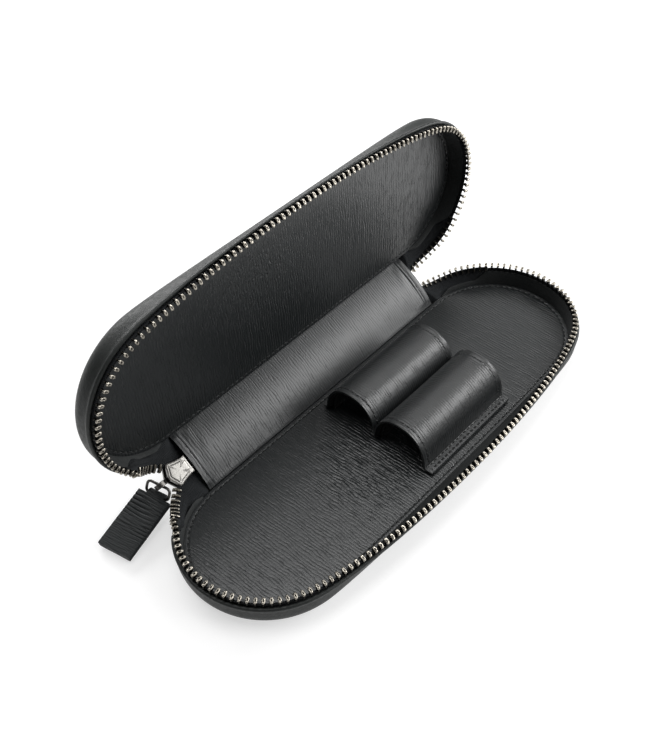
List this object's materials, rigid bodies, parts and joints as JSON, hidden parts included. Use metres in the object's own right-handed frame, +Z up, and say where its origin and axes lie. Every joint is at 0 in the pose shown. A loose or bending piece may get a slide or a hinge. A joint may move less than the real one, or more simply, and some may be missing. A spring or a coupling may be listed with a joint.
{
  "type": "zipped pen case",
  "caption": "Leather zip case for pens, standing open: two shallow oval shells on a soft spine, stitched pen loops in the base, metal zip chains and a slider with a leather tab.",
  "frame": {"origin": "the flat underside of the base half, midway between the centres of its two rounded ends", "axes": "+X along the case, with the slider at the -X end; +Y towards the spine; +Z up, out of the base tray"},
  "size_m": [0.1771, 0.0806, 0.0757],
  "materials": {
    "outer_leather": "smooth matte",
    "lining_leather": "soft, lightly creased sheen",
    "board": "matte pressed fibre",
    "tape": "matte herringbone weave",
    "teeth_metal": "polished nickel",
    "slider_metal": "satin nickel",
    "ring_metal": "dark nickel wire"
  },
  "bodies": {
    "base": {"base_outer_shell": "outer_leather", "base_board": "board", "base_lining_panel": "lining_leather", "base_wall_lining": "lining_leather", "base_zip_tape": "tape", "base_zip_teeth": "teeth_metal", "base_zip_end_tape": "tape", "base_zip_end_teeth": "teeth_metal", "pen_loop_strip": "lining_leather", "pen_loop_lining": "lining_leather"},
    "spine": {"spine_outer": "outer_leather", "spine_core": "board", "spine_lining": "lining_leather", "zip_tail_tape": "tape", "zip_tail_teeth": "teeth_metal"},
    "lid": {"lid_outer_shell": "outer_leather", "lid_board": "board", "lid_lining_panel": "lining_leather", "lid_wall_lining": "lining_leather", "lid_zip_tape": "tape", "lid_zip_teeth": "teeth_metal", "lid_zip_end_tape": "tape", "lid_zip_end_teeth": "teeth_metal"},
    "slider": {"slider_body": "slider_metal"},
    "ring": {"pull_ring": "ring_metal"},
    "tab": {"pull_tab_front": "outer_leather", "pull_tab_back": "outer_leather"}
  },
  "joints": [
    {"name": "spine_fold", "type": "hinge", "parent": "base", "child": "spine", "pos_m": [0, 0.0279, 0.0013], "axis": [-1, 0, 0], "range_deg": [-52, 38], "deforming": ["base_zip_end_tape", "base_zip_end_teeth"]},
    {"name": "lid_fold", "type": "hinge", "parent": "spine", "child": "lid", "pos_m": [0, 0.04413, 0.01398], "axis": [-1, 0, 0], "range_deg": [-39.5, 50.5], "deforming": ["lid_zip_end_tape", "lid_zip_end_teeth"]},
    {"name": "slider_slide", "type": "slide", "parent": "spine", "child": "slider", "axis": [-1, 0, 0], "range_m": [0, 0.005], "deforming": ["base_zip_end_tape", "base_zip_end_teeth", "lid_zip_end_tape", "lid_zip_end_teeth"]},
    {"name": "ring_swing", "type": "hinge", "parent": "slider", "child": "ring", "pos_m": [-0.0674, 0.03595, 0.00772], "axis": [-0.1908, 0.9816, 0], "range_deg": [-15, 30]},
    {"name": "tab_swing", "type": "hinge", "parent": "ring", "child": "tab", "pos_m": [-0.06941, 0.03607, 0.00434], "axis": [-0.1908, 0.9816, 0], "range_deg": [-60, 15]}
  ]
}
